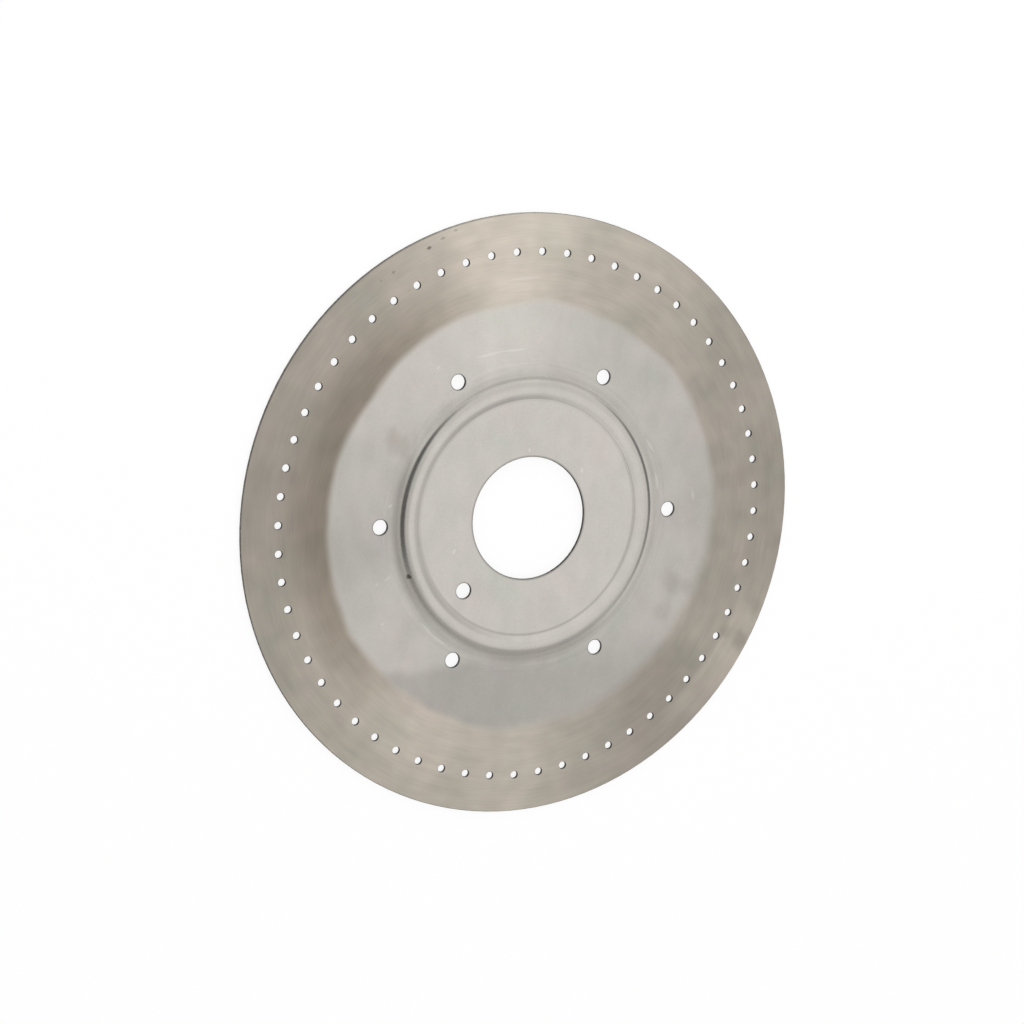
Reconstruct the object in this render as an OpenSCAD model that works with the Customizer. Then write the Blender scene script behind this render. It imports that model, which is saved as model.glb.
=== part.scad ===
// Seed plate for a vacuum planter: one round stainless sheet, blanked, pierced and pressed.
// It lies on its back with its marked face up. Millimetres, Z up, axis of the plate on Z.

/* [Plate] */
// Diameter over the rim
plate_d = 240; // [230:1:260]
// Thickness of the sheet
sheet_t = 1.2; // [0.8:0.1:1.6]
// Width of the small chamfer left on every edge by deburring
edge_break = 0.15; // [0.05:0.05:0.25]

/* [Seed holes] */
// Number of seed holes
seed_count = 60; // [24:1:72]
// Diameter of the circle that the seed holes lie on
seed_circle_d = 210; // [190:1:220]
// Diameter of one seed hole
seed_hole_d = 3; // [1:0.1:6]
// Angle from the first fixing hole to the first seed hole
seed_start = 4.3; // [0:0.1:6]

/* [Fixing holes] */
// Number of holes for the screws that hold the stirrer
fixing_count = 6; // [3:1:12]
// Diameter of the circle that the fixing holes lie on
fixing_circle_d = 127; // [121:1:150]
// Diameter of one fixing hole
fixing_hole_d = 6; // [4:0.1:7]

/* [Hub] */
// Diameter of the bore that goes over the hub
bore_d = 49; // [40:0.5:60]
// Diameter of the hole for the drive pin
drive_hole_d = 6.3; // [5:0.1:8]
// Distance from the axis to the middle of the drive hole
drive_hole_r = 39; // [36:0.5:41]
// Angle from the first fixing hole to the drive hole
drive_hole_angle = 224.5; // [0:0.5:360]

/* [Dished middle] */
// Diameter inside which the sheet leaves the flat outer band
dish_d = 170; // [150:1:190]
// Height of the sheet at the outer foot of the bead, above the flat outer band
dish_h = 0.3; // [0.1:0.1:1]
// Height of the hub area above the sheet at the outer foot of the bead
hub_h = 0.4; // [0:0.05:0.45]

/* [Stiffening bead] */
// Diameter where the outer wall of the bead leaves the dished sheet
bead_outer_d = 111.9; // [108:0.1:116]
// Width of the flat crown of the bead
bead_crown_w = 2.5; // [0.5:0.1:4]
// Height of the bead above the sheet at its outer foot
bead_h = 0.9; // [0.85:0.05:1.2]
// Slope of the outer wall of the bead
bead_outer_slope = 28; // [20:1:31]
// Slope of the inner wall of the bead
bead_inner_slope = 16; // [12:1:18]
// Radius of the bend from the crown into the outer wall, on the back of the sheet
crown_outer_r = 2; // [1:0.1:3]
// Radius of the bend from the crown into the inner wall, on the back of the sheet
crown_inner_r = 6.8; // [4:0.1:9]
// Radius of the bend at the outer foot, on the front of the sheet
outer_foot_r = 2.4; // [1:0.1:3]
// Radius of the bend at the inner foot, on the front of the sheet
inner_foot_r = 0.5; // [0.3:0.1:1]

/* [Hidden] */
$fn = 96;
// How far a cutter stands out past the face it cuts
past = 1;
// Straight steps that make up the curve of one bend
bend_steps = 12;
// Height of the back of the sheet round the bore
hub_z = dish_h + hub_h;

// Distance across one wall of the bead, from the sheet at its foot to the flat of the crown
// rise: height of the crown above that sheet
// foot_r: radius of the bend at the foot, on the front of the sheet
// crown_r: radius of the bend at the crown, on the back of the sheet
function wall_reach(rise, slope, foot_r, crown_r) =
    let (both = foot_r + sheet_t + crown_r)
    let (straight = (rise - both * (1 - cos(slope))) / sin(slope))
    both * sin(slope) + straight * cos(slope);

// Radii of the bead from the rim side inwards: outer foot, both edges of the crown, inner foot
bead_to = bead_outer_d / 2;
crown_to = bead_to - wall_reach(bead_h, bead_outer_slope, outer_foot_r, crown_outer_r);
crown_from = crown_to - bead_crown_w;
bead_from = crown_from - wall_reach(bead_h - hub_h, bead_inner_slope, inner_foot_r, crown_inner_r);

// Height of the back of the sheet beside the bead, at a radius from the axis
function sheet_z(r) = r < bead_from ? hub_z : lookup(r, [[bead_to, dish_h], [dish_d / 2, 0]]);

// Points along one side of a bend, from one angle to another about its centre
function bend(centre, r, from, to) = [
    for (i = [0 : bend_steps])
        let (a = from + (to - from) * i / bend_steps)
        centre + r * [cos(a), sin(a)]
];

// One face of the bead, from the bore side outwards
// lift: height of the face above the back of the sheet
function bead_face(lift) =
    let (crown_z = dish_h + bead_h)
    let (to_front = sheet_t - lift)
    concat(
        bend([bead_from, hub_z + sheet_t + inner_foot_r], inner_foot_r + to_front, -90, bead_inner_slope - 90),
        bend([crown_from, crown_z - crown_inner_r], crown_inner_r + lift, 90 + bead_inner_slope, 90),
        bend([crown_to, crown_z - crown_outer_r], crown_outer_r + lift, 90, 90 - bead_outer_slope),
        bend([bead_to, dish_h + sheet_t + outer_foot_r], outer_foot_r + to_front, -90 - bead_outer_slope, -90)
    );

// The same points taken the other way round
function backwards(points) = [
    for (i = [len(points) - 1 : -1 : 0]) points[i]
];

// Half section of the plate, from the bore to the rim and back over its front face
module plate_section() {
    bore_r = bore_d / 2;
    rim_r = plate_d / 2;
    hub_front = hub_z + sheet_t;
    polygon(concat(
        [[bore_r, hub_z + edge_break], [bore_r + edge_break, hub_z]],
        bead_face(0),
        [[dish_d / 2, 0], [rim_r - edge_break, 0], [rim_r, edge_break]],
        [[rim_r, sheet_t - edge_break], [rim_r - edge_break, sheet_t], [dish_d / 2, sheet_t]],
        backwards(bead_face(sheet_t)),
        [[bore_r + edge_break, hub_front], [bore_r, hub_front - edge_break]]
    ));
}

// Cutter for a round hole through the sheet, standing on its back, that breaks both edges
module hole_cutter(d) {
    flare = edge_break + past;
    rotate_extrude()
        polygon([
            [0, -past],
            [d / 2 + flare, -past],
            [d / 2, edge_break],
            [d / 2, sheet_t - edge_break],
            [d / 2 + flare, sheet_t + past],
            [0, sheet_t + past]
        ]);
}

// A ring of equal holes on one circle
module hole_ring(count, circle_d, hole_d, start) {
    for (i = [0 : count - 1])
        rotate(start + i * 360 / count)
            translate([circle_d / 2, 0, sheet_z(circle_d / 2)])
                hole_cutter(hole_d);
}

module seed_plate() {
    color("silver")
        difference() {
            rotate_extrude()
                plate_section();
            hole_ring(seed_count, seed_circle_d, seed_hole_d, seed_start);
            hole_ring(fixing_count, fixing_circle_d, fixing_hole_d, 0);
            hole_ring(1, 2 * drive_hole_r, drive_hole_d, drive_hole_angle);
        }
}

seed_plate();
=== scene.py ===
# %% [markdown]
# # A planter seed plate in stainless sheet
#
# This lesson dresses one CAD part: a thin round plate that carries single seeds on a ring of small holes.
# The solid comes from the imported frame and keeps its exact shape.
# The work here is the finish of the sheet, the camera and the light.

# %% Load the frame
import math

import bpy
from mathutils import Matrix, Vector


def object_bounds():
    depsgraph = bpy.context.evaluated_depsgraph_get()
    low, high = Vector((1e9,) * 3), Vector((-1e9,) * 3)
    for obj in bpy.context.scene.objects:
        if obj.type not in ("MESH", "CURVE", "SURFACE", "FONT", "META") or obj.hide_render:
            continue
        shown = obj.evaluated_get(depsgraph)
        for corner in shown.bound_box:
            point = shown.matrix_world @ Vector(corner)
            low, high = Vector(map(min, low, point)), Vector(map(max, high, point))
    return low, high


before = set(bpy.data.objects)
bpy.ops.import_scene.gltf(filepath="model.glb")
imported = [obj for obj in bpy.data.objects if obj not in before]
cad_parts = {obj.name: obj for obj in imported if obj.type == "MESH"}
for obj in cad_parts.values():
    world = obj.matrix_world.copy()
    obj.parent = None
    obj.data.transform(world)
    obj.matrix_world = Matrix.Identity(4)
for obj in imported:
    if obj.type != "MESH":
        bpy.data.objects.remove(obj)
cad_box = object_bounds()
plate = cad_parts["seed_plate"]
print("frame:", sorted(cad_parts), "box", [tuple(round(c, 4) for c in corner) for corner in cad_box])

# %% [markdown]
# ## Sizes that the finish follows
#
# The finish is laid out in millimetres from the axis of the plate, as a turner would mark it out.
# The rim comes from the frame's box.
# The bore, the two feet of the pressed bead and the ground band are the circles that the finish follows.
# Each ring of larger holes is a count, the radius of its circle, the radius of a hole and a first angle.

# %% Sizes
MM = 0.001
BORE_R = 24.5
CREASE_R = 47.4
BEAD_R = 55.9
GROUND_R = 85
HOLE_RINGS = [(6, 63.5, 3, 0), (1, 39, 3.15, 224.5)]

rim_r = cad_box[1][0] / MM
print("rim radius %.1f mm, top of the bead %.2f mm" % (rim_r, cad_box[1][2] / MM))

# %% [markdown]
# ## The camera
#
# The photo was taken from above and to the left of the plate, a little under a metre away.
# The camera's place is given in rim radii from the middle of the front face, so it follows the plate's size.
# It aims at a point near the middle, and one direction on the plate is held upright in the picture.
# The matrix is written out from these two directions, because a tracking constraint would choose its own up.

# %% Where the camera stands
FRONT_Z = 1.4 * MM
UP_TURN = math.radians(1.66)
CAMERA_RADII = Vector((-3.363, 1.481, 6.694))
AIM_RADII = Vector((-0.0599, 0.0254, 0))

turn = Matrix.Rotation(UP_TURN, 3, "Z")
photo_right = turn @ Vector((1, 0, 0))
photo_up = turn @ Vector((0, 1, 0))
front = Vector((0, 0, FRONT_Z))
camera_at = front + turn @ CAMERA_RADII * rim_r * MM
aim_at = front + turn @ AIM_RADII * rim_r * MM
print("camera %.2f m from the plate" % (camera_at - front).length)

# %% Camera
IMAGE_PX = 1024
SENSOR_MM = 36
FOCAL_PX = 2319.9

back = (camera_at - aim_at).normalized()
right = photo_up.cross(back).normalized()
up = back.cross(right)
camera_data = bpy.data.cameras.new("photo_camera")
camera_data.sensor_width = SENSOR_MM
camera_data.lens = FOCAL_PX * SENSOR_MM / IMAGE_PX
camera = bpy.data.objects.new("photo_camera", camera_data)
camera.matrix_world = Matrix.Translation(camera_at) @ Matrix((right, up, back)).transposed().to_4x4()
scene = bpy.context.scene
scene.collection.objects.link(camera)
scene.camera = camera
print("lens %.1f mm" % camera_data.lens)

# %% [markdown]
# ## Helpers for node trees
#
# Materials, the floor and the light are all small node trees, so the code that adds a node is written once.
# An input takes either a plain value or the output of another node, and `put` sorts out which it is.
# The others name the few nodes that come back again and again: sums, vectors, soft steps and mixes.

# %% Node helpers
def put(tree, kind, feeds, **options):
    """Add a node, set its options, then feed its inputs with values or with other nodes' outputs."""
    node = tree.nodes.new("ShaderNode" + kind)
    for option, choice in options.items():
        setattr(node, option, choice)
    for name, feed in feeds.items():
        if isinstance(feed, bpy.types.NodeSocket):
            tree.links.new(feed, node.inputs[name])
        else:
            node.inputs[name].default_value = feed
    return node


def maths(tree, operation, *terms, **options):
    """One operation on numbers."""
    return put(tree, "Math", dict(enumerate(terms)), operation=operation, **options).outputs[0]


def vectors(tree, operation, *terms, **named):
    """One operation on vectors: all the outputs, because some of them give a number."""
    return put(tree, "VectorMath", {**dict(enumerate(terms)), **named}, operation=operation).outputs


# %% Colour helpers
def ease(tree, value, start, end, low=0, high=1):
    """A soft step from low to high as the value goes from start to end."""
    feeds = {"Value": value, "From Min": start, "From Max": end, "To Min": low, "To Max": high}
    return put(tree, "MapRange", feeds, interpolation_type="SMOOTHSTEP").outputs["Result"]


def blend(tree, share, under, over, mode="MIX"):
    """Lay one colour over another, by a share from 0 to 1."""
    return put(tree, "Mix", {0: share, 6: under, 7: over}, data_type="RGBA", blend_type=mode).outputs[2]


def shade(tree, colour, level):
    """The same colour, made lighter or darker by a level."""
    return vectors(tree, "SCALE", colour, Scale=level)[0]


def tone(red, green, blue):
    return (red, green, blue, 1)


# %% [markdown]
# ## The floor
#
# The plate lies on a plain pale floor that reads as white.
# What the camera and the metal see of it is mostly an even white glow, so no extra light is needed for it.
# The rest is a matt white paint, and that share still takes the soft shadow of the plate.

# %% Floor
FLOOR_HALF = 3
FLOOR_GAP = 0.05 * MM

floor_mesh = bpy.data.meshes.new("floor")
signs = [(-1, -1), (1, -1), (1, 1), (-1, 1)]
corners = [(x * FLOOR_HALF, y * FLOOR_HALF, -FLOOR_GAP) for x, y in signs]
floor_mesh.from_pydata(corners, [], [(0, 1, 2, 3)])
floor = bpy.data.objects.new("floor", floor_mesh)
scene.collection.objects.link(floor)
print("floor %.0f m across" % (2 * FLOOR_HALF))

# %% Floor paint
WHITE = tone(1, 1, 1)
FLOOR_PAINT = tone(0.95, 0.95, 0.95)
FLOOR_ROUGH = 0.9
FLOOR_GLOW = 0.85

floor_mat = bpy.data.materials.new("white_floor")
floor_mat.use_nodes = True
tree = floor_mat.node_tree
paint = tree.nodes["Principled BSDF"]
paint.inputs["Base Color"].default_value = FLOOR_PAINT
paint.inputs["Roughness"].default_value = FLOOR_ROUGH
path = put(tree, "LightPath", {}).outputs
seen = maths(tree, "MAXIMUM", path["Is Camera Ray"], path["Is Glossy Ray"])
seen = maths(tree, "MAXIMUM", seen, path["Is Transmission Ray"])
share = maths(tree, "MULTIPLY", seen, FLOOR_GLOW)
glow = put(tree, "Emission", {"Color": WHITE, "Strength": 1})
mix = put(tree, "MixShader", {0: share, 1: paint.outputs[0], 2: glow.outputs[0]})
tree.links.new(mix.outputs[0], tree.nodes["Material Output"].inputs["Surface"])
floor_mesh.materials.append(floor_mat)
print("floor: %.0f%% of what is seen is an even white" % (100 * FLOOR_GLOW))

# %% [markdown]
# ## The light
#
# Bare metal has hardly any colour of its own: it shows what stands around it.
# A product photographer hangs one broad white sheet over a metal part and leaves the sides of the room dark.
# The world does the same here, which takes fewer lamps than a built studio and leaves no edges to mirror.
# It is white in a strip over the plate, dark to the left and to the right, and it fades a little towards
# the top and the bottom of the picture.
# Low down on the left it is light again, so that the plate is not dark when it is seen from the right.
# The ground band then shows the fan of light and shade that turned metal has.
# The camera and matt surfaces see plain white all over.

# %% White strip
LEFT_EDGE = (-0.4, 0.16)
RIGHT_EDGE = (1.04, 0.75)
LOW_HEIGHT = (0.35, 0.65)
LOW_SIDE = (-0.3, -0.6)
LOW_LIGHT = 0.6

world = bpy.data.worlds.new("light_tent")
world.use_nodes = True
scene.world = world
tree = world.node_tree
sight = put(tree, "TexCoord", {}).outputs["Generated"]
across = vectors(tree, "DOT_PRODUCT", sight, photo_right)["Value"]
height = put(tree, "SeparateXYZ", {0: sight}).outputs["Z"]
strip = maths(tree, "MULTIPLY", ease(tree, across, *LEFT_EDGE), ease(tree, across, *RIGHT_EDGE))
low_down = ease(tree, height, *LOW_HEIGHT, LOW_LIGHT, 0)
low_left = maths(tree, "MULTIPLY", low_down, ease(tree, across, *LOW_SIDE))
strip = maths(tree, "MAXIMUM", strip, low_left)
print("white strip fades out at %.2f on the left and %.2f on the right" % (LEFT_EDGE[0], RIGHT_EDGE[0]))

# %% Fades and level
SIDE_LIGHT = 0.14
BOTTOM_FADE = (-1.0, -0.1, 0.4, 1)
TOP_FADE = (0.95, 0.35, 0.85, 1)

along = vectors(tree, "DOT_PRODUCT", sight, photo_up)["Value"]
fade = maths(tree, "MULTIPLY", ease(tree, along, *BOTTOM_FADE), ease(tree, along, *TOP_FADE))
level = maths(tree, "MULTIPLY_ADD", maths(tree, "MULTIPLY", strip, fade), 1 - SIDE_LIGHT, SIDE_LIGHT)
path = put(tree, "LightPath", {}).outputs
plain = maths(tree, "MAXIMUM", path["Is Camera Ray"], path["Is Diffuse Ray"])
tree.links.new(maths(tree, "MAXIMUM", level, plain), tree.nodes["Background"].inputs["Strength"])
tree.nodes["Background"].inputs["Color"].default_value = WHITE
scene.view_settings.view_transform = "Standard"
print("sides of the tent at %.2f of the white" % SIDE_LIGHT)

# %% [markdown]
# ## The lamp
#
# One long lamp stands low and close, beyond the top of the picture.
# The ground lines throw its light back as a bright fan across that part of the band.
# A brighter patch in the world would do the same, but a lamp that is close lights the near part most.
# It stands so low that no slope of the bead mirrors it towards the photo's camera.

# %% Lamp
LAMP_TOWARDS = Vector((0.28, 0.92, 0.27))
LAMP_AWAY = 0.55
LAMP_WIDTH = 0.3
LAMP_HEIGHT = 0.12
LAMP_RADIANCE = 6.2

lamp_data = bpy.data.lights.new("low_lamp", "AREA")
lamp_data.shape = "RECTANGLE"
lamp_data.size = LAMP_WIDTH
lamp_data.size_y = LAMP_HEIGHT
lamp_data.energy = LAMP_RADIANCE * math.pi * LAMP_WIDTH * LAMP_HEIGHT
lamp = bpy.data.objects.new("low_lamp", lamp_data)
lamp_axis = (turn @ LAMP_TOWARDS).normalized()
lamp.location = lamp_axis * LAMP_AWAY
lamp.rotation_euler = lamp_axis.to_track_quat("Z", "Y").to_euler()
lamp.visible_camera = False
scene.collection.objects.link(lamp)
print("lamp %.2f W at %.2f m" % (lamp_data.energy, LAMP_AWAY))

# %% [markdown]
# ## Where a point is on the plate
#
# Grinding, turning and pressing all run round the axis, so the finish needs polar coordinates.
# This group gives a point's place in millimetres, its radius, and a unit vector that points outwards.
# The vector is used in place of an angle because it has no seam where a full turn closes.

# %% Place on the plate
def new_group(name, takes, gives):
    """Start a node group and hand back its tree, its input sockets and its output sockets."""
    group = bpy.data.node_groups.new(name, "ShaderNodeTree")
    for label, kind in takes.items():
        group.interface.new_socket(label, in_out="INPUT", socket_type="NodeSocket" + kind)
    for label, kind in gives.items():
        group.interface.new_socket(label, in_out="OUTPUT", socket_type="NodeSocket" + kind)
    return group, group.nodes.new("NodeGroupInput").outputs, group.nodes.new("NodeGroupOutput").inputs


place_group, takes, gives = new_group(
    "place_on_plate", {}, {"Place": "Vector", "Radius": "Float", "Around": "Vector"})
coords = put(place_group, "TexCoord", {}).outputs["Object"]
in_mm = vectors(place_group, "MULTIPLY", coords, (1 / MM, 1 / MM, 0))[0]
place_group.links.new(in_mm, gives["Place"])
place_group.links.new(vectors(place_group, "LENGTH", in_mm)["Value"], gives["Radius"])
place_group.links.new(vectors(place_group, "NORMALIZE", in_mm)[0], gives["Around"])
print("group:", place_group.name)

# %% [markdown]
# ## Grain that runs round the plate
#
# A grinding wheel leaves fine lines that follow the circle and fade in and out along it.
# Rings of equal lines would look like a record, so the group stretches a noise instead: close together
# along the radius, far apart around the plate.
# Pitch is the width of a line in millimetres, and Runs says how often a line changes on its way round.

# %% Round grain
GRAIN_INPUTS = ["Radius", "Pitch", "Runs", "Seed", "Detail"]

grain_group, takes, gives = new_group(
    "round_grain", {"Around": "Vector", **{label: "Float" for label in GRAIN_INPUTS}}, {"Grain": "Float"})
lines = maths(grain_group, "DIVIDE", takes["Radius"], takes["Pitch"])
reach = vectors(grain_group, "SCALE", takes["Around"], Scale=takes["Runs"])[0]
lift = put(grain_group, "CombineXYZ", {"Z": maths(grain_group, "ADD", lines, takes["Seed"])}).outputs[0]
spot = vectors(grain_group, "ADD", reach, lift)[0]
noise = put(grain_group, "TexNoise", {"Vector": spot, "Scale": 1, "Detail": takes["Detail"]})
grain_group.links.new(noise.outputs[0], gives["Grain"])
print("group:", grain_group.name)

# %% [markdown]
# ## Clouds, spots and scratches
#
# Handling leaves soft clouds of colour on bare metal, a few dark specks, and short bright scratches.
# A cloud is plain noise with its size in millimetres.
# A spot is the distance to a point, and a noise makes its edge ragged.
# A scratch is the distance to a short line, thinning out towards both ends.
# Each mark is placed on its own, because scattered marks would not sit where this plate has them.

# %% Clouds
cloud_group, takes, gives = new_group(
    "cloud", {"Place": "Vector", "Size": "Float", "Seed": "Float", "Detail": "Float"}, {"Cloud": "Float"})
share = maths(cloud_group, "DIVIDE", 1, takes["Size"])
scaled = vectors(cloud_group, "SCALE", takes["Place"], Scale=share)[0]
lift = put(cloud_group, "CombineXYZ", {"Z": takes["Seed"]}).outputs[0]
spot = vectors(cloud_group, "ADD", scaled, lift)[0]
noise = put(cloud_group, "TexNoise", {"Vector": spot, "Scale": 1, "Detail": takes["Detail"]})
cloud_group.links.new(noise.outputs[0], gives["Cloud"])
print("group:", cloud_group.name)

# %% Spots
RAGGED = 1.4

spot_group, takes, gives = new_group(
    "spot",
    {"Place": "Vector", "Centre": "Vector", "Size": "Float", "Softness": "Float", "Ragged": "Float"},
    {"Mask": "Float"})
away = vectors(spot_group, "DISTANCE", takes["Place"], takes["Centre"])["Value"]
away = maths(spot_group, "DIVIDE", away, takes["Size"])
wobble = maths(spot_group, "MULTIPLY_ADD", takes["Ragged"], RAGGED, -RAGGED / 2)
away = maths(spot_group, "ADD", away, wobble)
inner = maths(spot_group, "SUBTRACT", 1, takes["Softness"])
spot_group.links.new(ease(spot_group, away, inner, 1, 1, 0), gives["Mask"])
print("group:", spot_group.name)

# %% Scratches
MIDDLE = 0.5
THIN_FROM = 0.1
TIP_SHARE = 0.3

scratch_group, takes, gives = new_group(
    "scratch", {"Place": "Vector", "Start": "Vector", "End": "Vector", "Width": "Float"}, {"Mask": "Float"})
run = vectors(scratch_group, "SUBTRACT", takes["End"], takes["Start"])[0]
offset = vectors(scratch_group, "SUBTRACT", takes["Place"], takes["Start"])[0]
along_run = vectors(scratch_group, "DOT_PRODUCT", offset, run)["Value"]
run_square = vectors(scratch_group, "DOT_PRODUCT", run, run)["Value"]
part = maths(scratch_group, "DIVIDE", along_run, run_square, use_clamp=True)
nearest = vectors(scratch_group, "SCALE", run, Scale=part)[0]
away = vectors(scratch_group, "DISTANCE", offset, nearest)["Value"]
from_middle = maths(scratch_group, "ABSOLUTE", maths(scratch_group, "SUBTRACT", part, MIDDLE))
thin = ease(scratch_group, from_middle, THIN_FROM, MIDDLE, 1, TIP_SHARE)
width = maths(scratch_group, "MULTIPLY", takes["Width"], thin)
scratch_group.links.new(ease(scratch_group, away, 0, width, 1, 0), gives["Mask"])
print("group:", scratch_group.name)

# %% [markdown]
# ## How far it is to a hole
#
# The larger holes have a thin line of painted shade round their edge.
# A ring of equal holes repeats itself, so the angle is folded into the share of one hole.
# The gap to the edge of that hole then holds for all of them, and the nodes are made once per ring.

# %% Gap to a hole
HOLE_INPUTS = ["Radius", "Count", "Circle", "Hole", "Start"]

hole_group, takes, gives = new_group(
    "gap_to_hole", {"Place": "Vector", **{label: "Float" for label in HOLE_INPUTS}}, {"Gap": "Float"})
sides = put(hole_group, "SeparateXYZ", {0: takes["Place"]}).outputs
angle = maths(hole_group, "ARCTAN2", sides["Y"], sides["X"])
angle = maths(hole_group, "SUBTRACT", angle, takes["Start"])
half_step = maths(hole_group, "DIVIDE", math.pi, takes["Count"])
folded = maths(hole_group, "WRAP", angle, half_step, maths(hole_group, "MULTIPLY", half_step, -1))
out_by = maths(hole_group, "MULTIPLY", takes["Radius"], maths(hole_group, "COSINE", folded))
out_by = maths(hole_group, "SUBTRACT", out_by, takes["Circle"])
side_by = maths(hole_group, "MULTIPLY", takes["Radius"], maths(hole_group, "SINE", folded))
offset = put(hole_group, "CombineXYZ", {"X": out_by, "Y": side_by}).outputs[0]
from_middle = vectors(hole_group, "LENGTH", offset)["Value"]
hole_group.links.new(maths(hole_group, "SUBTRACT", from_middle, takes["Hole"]), gives["Gap"])
print("group:", hole_group.name)

# %% [markdown]
# ## Masks for the finish
#
# One material covers the whole sheet, and almost every trace on it is a ring that is stronger on one side.
# A ring is an inner radius, an outer radius and the softness of both edges.
# A side is an angle, the level away from it, the level at it, and where between them the change starts and
# ends: 1 is right at the angle, 0 a quarter turn away and -1 across the plate.
# Masks like these need no unwrapping and no image, and they stay sharp close up.

# %% Material and noises
steel = bpy.data.materials.new("stainless_sheet")
steel.use_nodes = True
tree = steel.node_tree
where = put(tree, "Group", {}, node_tree=place_group).outputs
place, radius, around = where["Place"], where["Radius"], where["Around"]


def cloud(size, seed, detail=1, over=place):
    """A soft noise, with the size of its blotches in millimetres."""
    feeds = {"Place": over, "Size": size, "Seed": seed, "Detail": detail}
    return put(tree, "Group", feeds, node_tree=cloud_group).outputs[0]


def grain(pitch, runs, seed, detail=1):
    """Lines that run round the plate, with their width in millimetres."""
    feeds = {"Radius": radius, "Around": around, "Pitch": pitch, "Runs": runs, "Seed": seed}
    return put(tree, "Group", {**feeds, "Detail": detail}, node_tree=grain_group).outputs[0]


print("material:", steel.name)

# %% Rings and sides
def ring(inner, outer, soft):
    """A mask for the ring between two radii, with soft edges."""
    return maths(tree, "MULTIPLY", ease(tree, radius, inner - soft, inner + soft),
                 ease(tree, radius, outer - soft, outer + soft, 1, 0))


def at(mark_r, mark_angle):
    """A point on the plate from its radius in millimetres and its angle in degrees."""
    return Vector((math.cos(math.radians(mark_angle)), math.sin(math.radians(mark_angle)), 0)) * mark_r


def towards(angle, low, high, start=-0.8, end=0.8):
    """A level that goes from low to high from one side of the plate to the side at an angle."""
    return ease(tree, vectors(tree, "DOT_PRODUCT", around, at(1, angle))["Value"], start, end, low, high)


def times(first, second):
    return maths(tree, "MULTIPLY", first, second)


def plus(first, second):
    return maths(tree, "ADD", first, second)


# %% [markdown]
# ## The zones of the plate
#
# The front, the back and the cut edges are told apart by the way the surface faces.
# A material for each would do it too, but the CAD mesh has one slot and stays as it is.
# The ground band is everything outside one radius.
# Its edge isn't a true circle, so clouds push it in and out, and it is softest at the lower right.
# A few clouds are shared between zones, so that their blotches run on across the edge.

# %% Front and back
FLAT_FROM = 0.72
FLAT_TO = 0.8

facing = put(tree, "SeparateXYZ", {0: put(tree, "NewGeometry", {}).outputs["Normal"]}).outputs["Z"]
is_front = ease(tree, facing, FLAT_FROM, FLAT_TO)
is_back = ease(tree, facing, -FLAT_FROM, -FLAT_TO)
print("front and back: tilted by less than %.0f degrees" % math.degrees(math.acos(FLAT_TO)))

# %% Shared clouds
WIPE_STRETCH = (1, 0.6, 0)

wander = cloud(size=30, seed=3.1)
wiped = vectors(tree, "MULTIPLY", place, WIPE_STRETCH)[0]
patches = cloud(size=7, seed=4.2, detail=2, over=wiped)
pink_cloud = cloud(size=20, seed=7.3, detail=2)
green_cloud = cloud(size=24, seed=1.9, detail=2)
ragged = cloud(size=1.1, seed=3.3)
print("shared clouds: wander, patches, pink, green and ragged")

# %% Ground band
EDGE_WANDER = 4
PATCH_SHARE = 0.35
EDGE_BLUR = (315, 2.1, 4, 0.3, 0.9)

wander_middle = (1 + PATCH_SHARE) / 2
off_true = maths(tree, "SUBTRACT", wander, wander_middle)
off_true = maths(tree, "MULTIPLY_ADD", patches, PATCH_SHARE, off_true)
walked = maths(tree, "MULTIPLY_ADD", off_true, EDGE_WANDER, radius)
edge_soft = towards(*EDGE_BLUR)
ground_from = maths(tree, "SUBTRACT", GROUND_R, edge_soft)
ground_to = maths(tree, "ADD", GROUND_R, edge_soft)
ground = ease(tree, walked, ground_from, ground_to)
print("ground band outside %.0f mm" % GROUND_R)

# %% [markdown]
# ## The rolled sheet inside the band
#
# The middle of the plate keeps the satin skin of rolled sheet: a light grey that is slightly warm.
# One even grey would look like plastic, so the colour is built up from weak layers.
# Slow clouds pull it towards pink or green, wiping has left soft smears, and the skin has a fine grain.
# Faint arcs lie outside the bead, where something turned against the plate.
# Two sides outside the bead are made lighter as painted sheen.
# Below a chord across the lower half the skin is a cooler, darker grey, and the chord blurs to the right.

# %% Sheet colour
SHEET = tone(0.580, 0.556, 0.515)
SHEET_PINK = tone(0.601, 0.554, 0.521)
SHEET_GREEN = tone(0.560, 0.554, 0.500)
PINK_EDGE = (0.45, 0.7)
GREEN_EDGE = (0.5, 0.75)

sheet = blend(tree, ease(tree, pink_cloud, *PINK_EDGE), SHEET, SHEET_PINK)
sheet = blend(tree, ease(tree, green_cloud, *GREEN_EDGE), sheet, SHEET_GREEN)
print("sheet: grey of %.2f, %.2f, %.2f" % SHEET[:3])

# %% Smears, arcs and skin
NOISE = (0.25, 0.75)
SMEARS = (0.97, 1.03)
ARC_RING = (BEAD_R + 1, BEAD_R + 7, 1.5)
ARCS = (0.3, 0.7, -0.05, 0.02)
SKIN = (0.2, 0.8, 0.97, 1.03)

smears = ease(tree, patches, *NOISE, *SMEARS)
arcs = ease(tree, grain(pitch=1.3, runs=3, seed=8.8), *ARCS)
arcs = times(arcs, ring(*ARC_RING))
sheet = shade(tree, sheet, plus(smears, arcs))
sheet = shade(tree, sheet, ease(tree, cloud(size=0.8, seed=2.7, detail=2), *SKIN))
print("smears from %.2f to %.2f of the grey" % SMEARS)

# %% Painted sheen on two sides
SHEEN_TOP = (125, 0, 0.11, 0.5, 1)
SHEEN_LOW = (214, 0, 0.08, 0.9, 0.99)
SHEEN_FROM = (BEAD_R, BEAD_R + 6)

# Painted sheen: lighter towards 125 and 214 degrees outside the bead.
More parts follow.
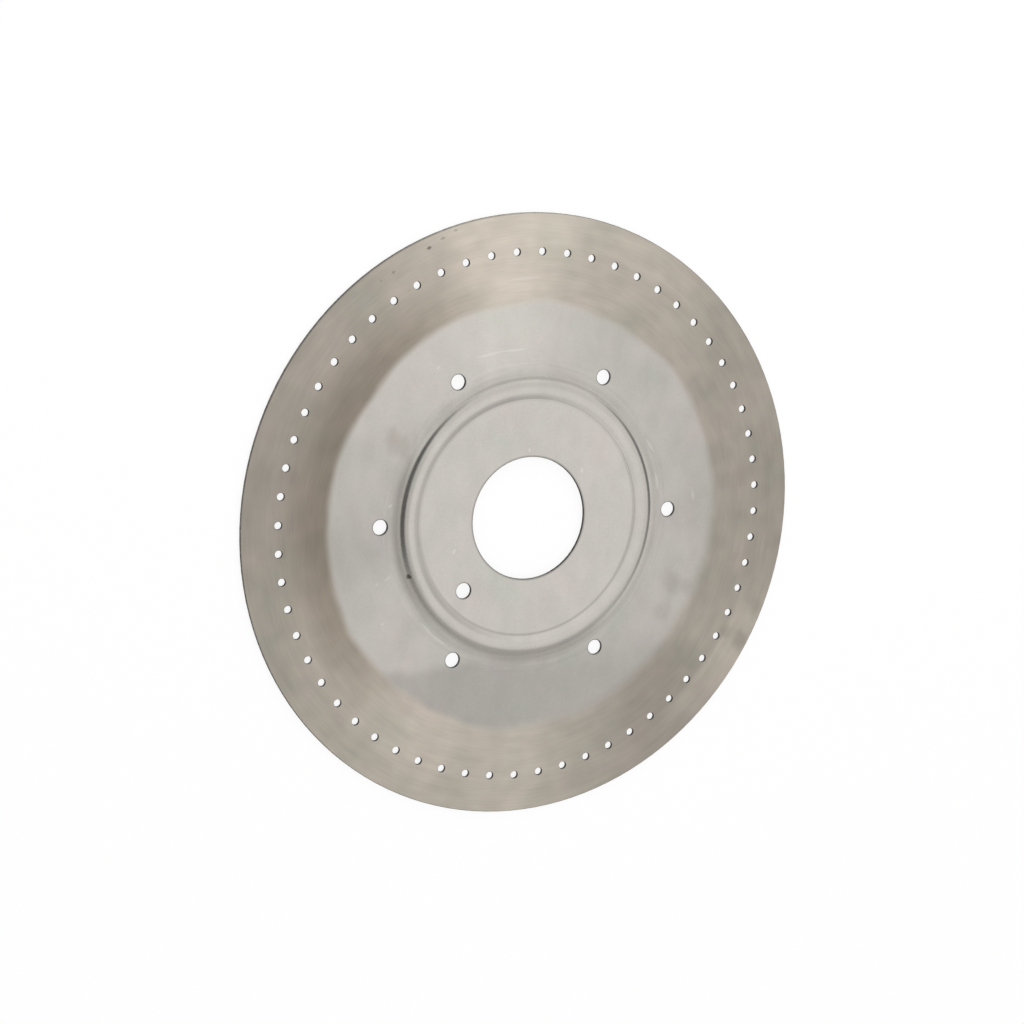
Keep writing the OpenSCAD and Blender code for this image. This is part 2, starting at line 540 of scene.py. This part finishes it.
painted_sheen_sides = plus(towards(*SHEEN_TOP), towards(*SHEEN_LOW))
painted_sheen_sides = times(ease(tree, radius, *SHEEN_FROM), painted_sheen_sides)
sheet = shade(tree, sheet, plus(painted_sheen_sides, 1))
print("cleaner at %d and %d degrees" % (SHEEN_TOP[0], SHEEN_LOW[0]))

# %% Cool chord
COOL_TINT = tone(0.80, 0.805, 0.80)
CHORD_Y = -57
CHORD_WANDER = 8
CHORD_BLUR = (-25, 35, 3, 13)
COOL_RING = (BEAD_R, rim_r, 0.5)

sides = put(tree, "SeparateXYZ", {0: place}).outputs
chord_walk = maths(tree, "MULTIPLY_ADD", wander, CHORD_WANDER, sides["Y"])
chord_middle = CHORD_Y + CHORD_WANDER / 2
chord_soft = ease(tree, sides["X"], *CHORD_BLUR)
chord_from = maths(tree, "ADD", chord_middle, chord_soft)
chord_to = maths(tree, "SUBTRACT", chord_middle, chord_soft)
cool = times(ease(tree, chord_walk, chord_from, chord_to), ring(*COOL_RING))
sheet = blend(tree, cool, sheet, COOL_TINT, "MULTIPLY")
print("cool skin below %d mm" % CHORD_Y)

# %% [markdown]
# ## Painted shade at the feet of the bead
#
# Shade falls where the sheet bends up, and here it is painted into the colour: it is what draws the bead from
# a distance.
# An ambient occlusion node could find such corners, but its shade would be even all round.
# At the outer foot it is a painted soft shadow with a dark lip of painted shade at the top, and a painted
# brow of shade above it on the left.
# At the inner foot it is a thin line of painted shade all round, a wider painted shade on the left, and a
# line of painted highlight on the right.
# On the lower left the outer wall gets a matt grey coat that is painted shade of that wall.
# That coat is not metal, so its mask is kept for the shader as well.

# %% Outer foot, painted shade
FOOT_INSIDE = (BEAD_R - 1.4, BEAD_R - 0.2)
FOOT_OUTSIDE = (BEAD_R, BEAD_R + 4.5, 1, 0)
FOOT_LEFT = (186, 0.12, 0.58, 0.75, 0.98)
FOOT_LOW = (275, 0, 0.3, 0.75, 0.97)
LIP_RING = (BEAD_R - 0.9, BEAD_R + 0.3, 0.5)
LIP_TOP = (85, 0, 0.28, 0.4, 0.9)
BROW_RING = (BEAD_R - 3.8, BEAD_R - 1.8, 0.7)
BROW_LEFT = (180, 0.13, 0.4, 0.75, 0.97)

# Painted shadow at the outer foot, with a painted lip and brow of shade.
foot_shade = times(ease(tree, radius, *FOOT_INSIDE), ease(tree, radius, *FOOT_OUTSIDE))
foot_shade = times(foot_shade, plus(towards(*FOOT_LEFT), towards(*FOOT_LOW)))
painted_lip_shade = times(ring(*LIP_RING), towards(*LIP_TOP))
painted_brow_shade = times(ring(*BROW_RING), towards(*BROW_LEFT))
outer_foot_shade = plus(foot_shade, plus(painted_lip_shade, painted_brow_shade))
print("outer foot at %.1f mm" % BEAD_R)

# %% Inner foot, painted shade and highlight
FOOT_SHADE = tone(0.20, 0.185, 0.165)
CREASE_RING = (CREASE_R - 0.8, CREASE_R + 0.2, 0.4)
CREASE_LOW = (290, 0.1, 0.34)
WIDE_SHADE_RING = (CREASE_R + 0.3, CREASE_R + 2.3, 0.7)
WIDE_SHADE_LEFT = (165, 0, 0.29, -0.1, 0.7)
WIDE_SHADE_LOW = (230, 0, 0.16, 0.8, 0.98)
INNER_HIGHLIGHT_RING = (CREASE_R + 0.4, CREASE_R + 1.1, 0.3)
INNER_HIGHLIGHT_RIGHT = (20, 0, 0.18, 0.3, 0.9)

# Painted shade: a thin line in the crease and a wider band just inside it.
crease_shade = times(ring(*CREASE_RING), towards(*CREASE_LOW))
wide_crease_shade = times(ring(*WIDE_SHADE_RING), plus(towards(*WIDE_SHADE_LEFT), towards(*WIDE_SHADE_LOW)))
sheet = blend(tree, plus(outer_foot_shade, plus(crease_shade, wide_crease_shade)), sheet, FOOT_SHADE)
# Painted highlight: a lighter line just inside the crease on the right.
painted_inner_highlight = times(ring(*INNER_HIGHLIGHT_RING), towards(*INNER_HIGHLIGHT_RIGHT))
sheet = shade(tree, sheet, plus(painted_inner_highlight, 1))
print("inner foot at %.1f mm" % CREASE_R)

# %% Painted shade on the wall
WALL_SHADE = tone(0.30, 0.285, 0.250)
WALL_SHADE_RING = (BEAD_R - 2.9, BEAD_R + 0.5, 0.5)
WALL_SHADE_LOW_LEFT = (236, 0.06, 0.62, 0.6, 0.96)

# Painted shade: a matt grey coat over the outer wall on the lower left.
painted_wall_shade = times(ring(*WALL_SHADE_RING), towards(*WALL_SHADE_LOW_LEFT))
sheet = blend(tree, painted_wall_shade, sheet, WALL_SHADE)
print("dust covers up to %.0f%% of the wall" % (100 * WALL_SHADE_LOW_LEFT[2]))

# %% [markdown]
# ## The ground band
#
# The band that the seeds ride on was ground flat, which leaves it browner and duller than the sheet.
# Along its inner edge on the left it is browner, with painted shade.
# It has painted shade at the bottom, and painted sheen at the lower left and near the rim at the upper and
# lower right.
# Streaks follow the circle at two scales, with soft blotches between them: one scale alone looks printed.

# %% Band colour
GROUND = tone(0.700, 0.637, 0.552)
GROUND_PINK = tone(0.715, 0.638, 0.558)
GROUND_GREEN = tone(0.680, 0.636, 0.547)
BAND_EDGE = (0.45, 0.7)
BAND_TINT_AND_SHADE = tone(0.69, 0.65, 0.615)
INNER_FADE = (GROUND_R + 4, GROUND_R + 26, 1, 0)
BAND_SHADE_LEFT = (167, 0, 0.88, 0.3, 0.9)

band = blend(tree, ease(tree, pink_cloud, *BAND_EDGE), GROUND, GROUND_PINK)
band = blend(tree, ease(tree, green_cloud, *BAND_EDGE), band, GROUND_GREEN)
# Painted shade with a browner tint along the inner edge on the left.
band_shade_share = times(ease(tree, radius, *INNER_FADE), towards(*BAND_SHADE_LEFT))
band = blend(tree, band_shade_share, band, BAND_TINT_AND_SHADE, "MULTIPLY")
print("band: brown of %.2f, %.2f, %.2f" % GROUND[:3])

# %% Painted shade and sheen of the band
PAINTED_SHADE_LOW = (297, 1, 0.73, 0.86, 0.995)
PAINTED_SHEEN_LEFT = (218, 0, 0.18, 0.75, 0.97)
SHEEN_LEFT_FADE = (102, 110, 1, 0.4)
RIM_SHEEN_LOW = (324, 0, 0.2, 0.93, 0.995)
RIM_SHEEN_TOP = (68, 0, 0.1, 0.88, 0.98)
RIM_SHEEN_FROM = (105, 109)

# Painted light of the fans: darker at the bottom, lighter at the lower left and near the rim on the right.
sheen_left = times(towards(*PAINTED_SHEEN_LEFT), ease(tree, radius, *SHEEN_LEFT_FADE))
rim_sheen = plus(towards(*RIM_SHEEN_LOW), towards(*RIM_SHEEN_TOP))
rim_sheen = times(ease(tree, radius, *RIM_SHEEN_FROM), rim_sheen)
painted_fan_light = times(towards(*PAINTED_SHADE_LOW), plus(plus(sheen_left, rim_sheen), 1))
band = shade(tree, band, painted_fan_light)
# The radius printed here is where the painted sheen near the rim starts.
print("wheel runs out beyond %d mm" % RIM_SHEEN_FROM[0])

# %% Streaks
STREAKS = (0.97, 1.03)
BLOTCHES = (0.96, 1.04)
RIM_FADE = (rim_r - 15, rim_r - 8, 0.99, 0.96)

long_streaks = ease(tree, grain(pitch=3.5, runs=5, seed=6.6), *NOISE, *STREAKS)
fine_streaks = ease(tree, grain(pitch=0.6, runs=9, seed=0.4), *NOISE, *STREAKS)
blotches = ease(tree, cloud(size=9, seed=5.2), *NOISE, *BLOTCHES)
streaks = times(times(long_streaks, fine_streaks), times(blotches, ease(tree, radius, *RIM_FADE)))
band = shade(tree, band, streaks)
face = blend(tree, ground, sheet, band)
print("front: %d nodes so far" % len(tree.nodes))

# %% [markdown]
# ## Marks of use
#
# A few marks sit where the plate has them: specks near the rim, a nick at the foot of the bead,
# brown and olive stains, and short bright scratches on the sheet.
# Each place is a radius and an angle on the plate, and the mask goes over the colour found so far.
# A speck is a short dark stroke with its width and share, and a stain is a spot with its size and share.

# %% Specks and nick
def scratch_mask(start, end, width):
    """A mask for a thin stroke between two places."""
    feeds = {"Place": place, "Start": at(*start), "End": at(*end), "Width": width}
    return put(tree, "Group", feeds, node_tree=scratch_group).outputs[0]


def spot_mask(centre, size, softness, edge):
    """A mask for a spot at one place, made ragged by a noise."""
    feeds = {"Place": place, "Centre": at(*centre), "Size": size, "Softness": softness, "Ragged": edge}
    return put(tree, "Group", feeds, node_tree=spot_group).outputs[0]


SPECK = tone(0.12, 0.11, 0.10)
NICK_AT = (55.2, 201.3)
NICK_SIZE = 1.3
NICK_SOFT = 0.7
SPECKS = [
    ((115.7, 112.5), (115.7, 113.4), 1.1, 0.75), ((117.0, 109.2), (117.0, 110.2), 0.9, 0.4),
    ((118.2, 106.4), (118.2, 107.2), 0.8, 0.35), ((114.3, 121.1), (114.3, 121.8), 1.1, 0.35),
    ((114.4, 124.2), (114.4, 124.7), 0.8, 0.25)]

for start, end, width, share in SPECKS:
    face = blend(tree, times(scratch_mask(start, end, width), share), face, SPECK)
face = blend(tree, spot_mask(NICK_AT, NICK_SIZE, NICK_SOFT, ragged), face, SPECK)
print("marks: %d specks and a nick" % len(SPECKS))

# %% Stains
BROWN = tone(0.36, 0.31, 0.26)
OLIVE = tone(0.34, 0.325, 0.28)
STAIN_SOFT = 0.9
STAINS = [
    ((64.0, 149.0), 8, 0.36, BROWN), ((75.3, 326.5), 6, 0.22, BROWN), ((73.5, 335.1), 9, 0.3, OLIVE),
    ((80.0, 335.3), 6, 0.24, OLIVE), ((115.8, 330.0), 5.5, 0.4, OLIVE), ((108.3, 329.8), 4, 0.3, OLIVE),
    ((116.5, 337.8), 6, 0.2, OLIVE)]

for centre, size, share, stain in STAINS:
    face = blend(tree, times(spot_mask(centre, size, STAIN_SOFT, patches), share), face, stain)
print("marks: %d stains" % len(STAINS))

# %% Bright scratches
SCRATCH = tone(0.86, 0.84, 0.80)
SCRATCH_WIDTH = 0.9
SCRATCH_SHARE = 0.33
SCRATCHES = [
    ((59.9, 29.2), (60.9, 23.1)), ((75.1, 5.5), (75.6, 2.2)), ((59.1, 15.2), (59.0, 7.9)),
    ((65.0, 198.9), (61.4, 198.2)), ((68.9, 199.5), (67.6, 198.7)), ((73.5, 211.4), (72.0, 211.8)),
    ((60.5, 172.9), (59.5, 171.6)), ((68.6, 110.5), (67.7, 101.5)), ((60.0, 220.2), (60.1, 227.5)),
    ((60.2, 227.0), (60.0, 234.5)), ((94.7, 95.9), (95.0, 88.6)), ((26.6, 91.2), (28.0, 91.2)),
    ((28.7, 36.0), (29.8, 40.0)), ((33.4, 197.8), (35.0, 200.6)), ((67.7, 101.3), (67.2, 92.0)),
    ((73.1, 124.2), (72.9, 123.0))]

for start, end in SCRATCHES:
    mask = scratch_mask(start, end, SCRATCH_WIDTH)
    face = blend(tree, times(mask, SCRATCH_SHARE), face, SCRATCH)
print("marks: %d scratches" % len(SCRATCHES))

# %% [markdown]
# ## Painted shade along the edges
#
# A thin dark line of painted shade runs round the bore, round the larger holes and along the rim.
# It is the nearest of all these edges that counts, so the gaps are compared and only one line is drawn.
# A gap that is made smaller gives a wider line: the bore's is wide all round, the rim's at the upper left.

# %% Painted shade lines at the edges
CUT_AND_EDGE_SHADE = tone(0.15, 0.14, 0.125)
EDGE_SHADE_SHARE = 0.55
LINE_FADE = (0.1, 0.6, 1, 0)
BORE_NARROWS = 0.6
RIM_NARROWS = (125, 1.3, 0.75, 0.6, 0.95)

bore_gap = times(maths(tree, "SUBTRACT", radius, BORE_R), BORE_NARROWS)
rim_gap = times(maths(tree, "SUBTRACT", rim_r, radius), towards(*RIM_NARROWS))
gap = maths(tree, "MINIMUM", bore_gap, rim_gap)
for count, circle, hole, start in HOLE_RINGS:
    feeds = {"Place": place, "Radius": radius, "Count": count, "Circle": circle, "Hole": hole}
    feeds["Start"] = math.radians(start)
    gap = maths(tree, "MINIMUM", gap, put(tree, "Group", feeds, node_tree=hole_group).outputs[0])
# Painted shade: a dark line along the nearest edge, in the colour of the cut metal.
edge_shade_line = times(ease(tree, gap, *LINE_FADE), EDGE_SHADE_SHARE)
face = blend(tree, edge_shade_line, face, CUT_AND_EDGE_SHADE)
print("edge lines round the bore, the rim and %d rings of holes" % len(HOLE_RINGS))

# %% [markdown]
# ## The back and the cut edges
#
# The back keeps the rolled skin all over, with a straight grain from the mill.
# Holes and rim were punched, so their walls are dark torn metal with fine upright lines, paler at the rim.
# The walls use the same flat coordinates as the faces: without a height, noise turns into upright lines.

# %% Back
BACK = tone(0.53, 0.51, 0.475)
BACK_EDGE = (0.45, 0.75)
MILL_STRETCH = (0.03, 1.6, 0)
MILL_LINES = (0.3, 0.7, 0.9, 1.06)

stretched = vectors(tree, "MULTIPLY", place, MILL_STRETCH)[0]
mill = put(tree, "TexNoise", {"Vector": stretched, "Scale": 1, "Detail": 2}).outputs[0]
rear = blend(tree, ease(tree, green_cloud, *BACK_EDGE), BACK, SHEET_GREEN)
rear = shade(tree, rear, ease(tree, mill, *MILL_LINES))
print("back: grey of %.2f, %.2f, %.2f" % BACK[:3])

# %% Cut edges
TORN = (0.3, 0.7, 0.7, 1.3)
RIM_PALER = (rim_r - 2, rim_r - 1, 1, 1.8)

torn = times(ease(tree, ragged, *TORN), ease(tree, radius, *RIM_PALER))
wall = shade(tree, CUT_AND_EDGE_SHADE[:3], torn)
colour = blend(tree, is_front, wall, face)
colour = blend(tree, is_back, colour, rear)
print("rim wall %.1f times as pale as a hole's" % RIM_PALER[3])

# %% [markdown]
# ## Gloss and relief
#
# The sheet is satin, the pressed middle is smoother and the ground band is duller, so roughness follows the
# same zones as the colour.
# The sheet's roughness never goes under 0.28, clouds and all: below about 0.27 the denoiser takes metal for
# a mirror, and where that limit is crossed in the open sheet it shows as hairlines.
# The step down to the smooth middle is hidden in the line at the outer foot.
# The bump is only as deep as a fine grind.

# %% Roughness
HUB_ROUGH = 0.12
SHEET_ROUGH = 0.305
GROUND_ROUGH = 0.5
CUT_ROUGH = 0.55
BACK_ROUGH = 0.34
ROUGH_STEP = (BEAD_R - 0.3, BEAD_R + 1.2)
ROUGH_CLOUDS = (-0.025, 0.025)

rough = ease(tree, radius, *ROUGH_STEP, HUB_ROUGH, SHEET_ROUGH)
rough = maths(tree, "MULTIPLY_ADD", ground, GROUND_ROUGH - SHEET_ROUGH, rough)
rough = plus(rough, ease(tree, green_cloud, *NOISE, *ROUGH_CLOUDS))
front_gain = maths(tree, "SUBTRACT", rough, CUT_ROUGH)
rough = maths(tree, "MULTIPLY_ADD", is_front, front_gain, CUT_ROUGH)
back_gain = maths(tree, "SUBTRACT", BACK_ROUGH, rough)
rough = maths(tree, "MULTIPLY_ADD", is_back, back_gain, rough)
print("roughness from %.2f at the hub to %.2f on the cut edges" % (HUB_ROUGH, CUT_ROUGH))

# %% Relief
GRIND_DEPTH = 0.02 * MM
GRIND_STRENGTH = 0.25

depth = times(grain(pitch=0.5, runs=14, seed=5.1, detail=0), ground)
relief = put(tree, "Bump", {"Strength": GRIND_STRENGTH, "Distance": GRIND_DEPTH, "Height": depth})
print("grind %.0f micrometres deep" % (1000 * GRIND_DEPTH / MM))

# %% [markdown]
# ## The shader
#
# Round grain spreads a highlight across the lines and hardly along them.
# Thousands of modelled lines would be needed to show that, so the shader's anisotropy does it instead.
# Its tangent runs round the axis and is turned by a quarter, so that the fans of light stand on the radius.
# Everything is metal but the coat of painted shade on the wall.

# %% Shader
ANISOTROPY = 0.95
QUARTER_TURN = 0.25

metal = tree.nodes["Principled BSDF"]
metal.inputs["Anisotropic"].default_value = ANISOTROPY
metal.inputs["Anisotropic Rotation"].default_value = QUARTER_TURN
tangent = put(tree, "Tangent", {}, direction_type="RADIAL", axis="Z")
bare = maths(tree, "SUBTRACT", 1, times(painted_wall_shade, is_front))
tree.links.new(colour, metal.inputs["Base Color"])
tree.links.new(bare, metal.inputs["Metallic"])
tree.links.new(rough, metal.inputs["Roughness"])
tree.links.new(relief.outputs[0], metal.inputs["Normal"])
tree.links.new(tangent.outputs[0], metal.inputs["Tangent"])
plate.material_slots[0].material = steel
print("finish: %d nodes on %s" % (len(tree.nodes), plate.name))
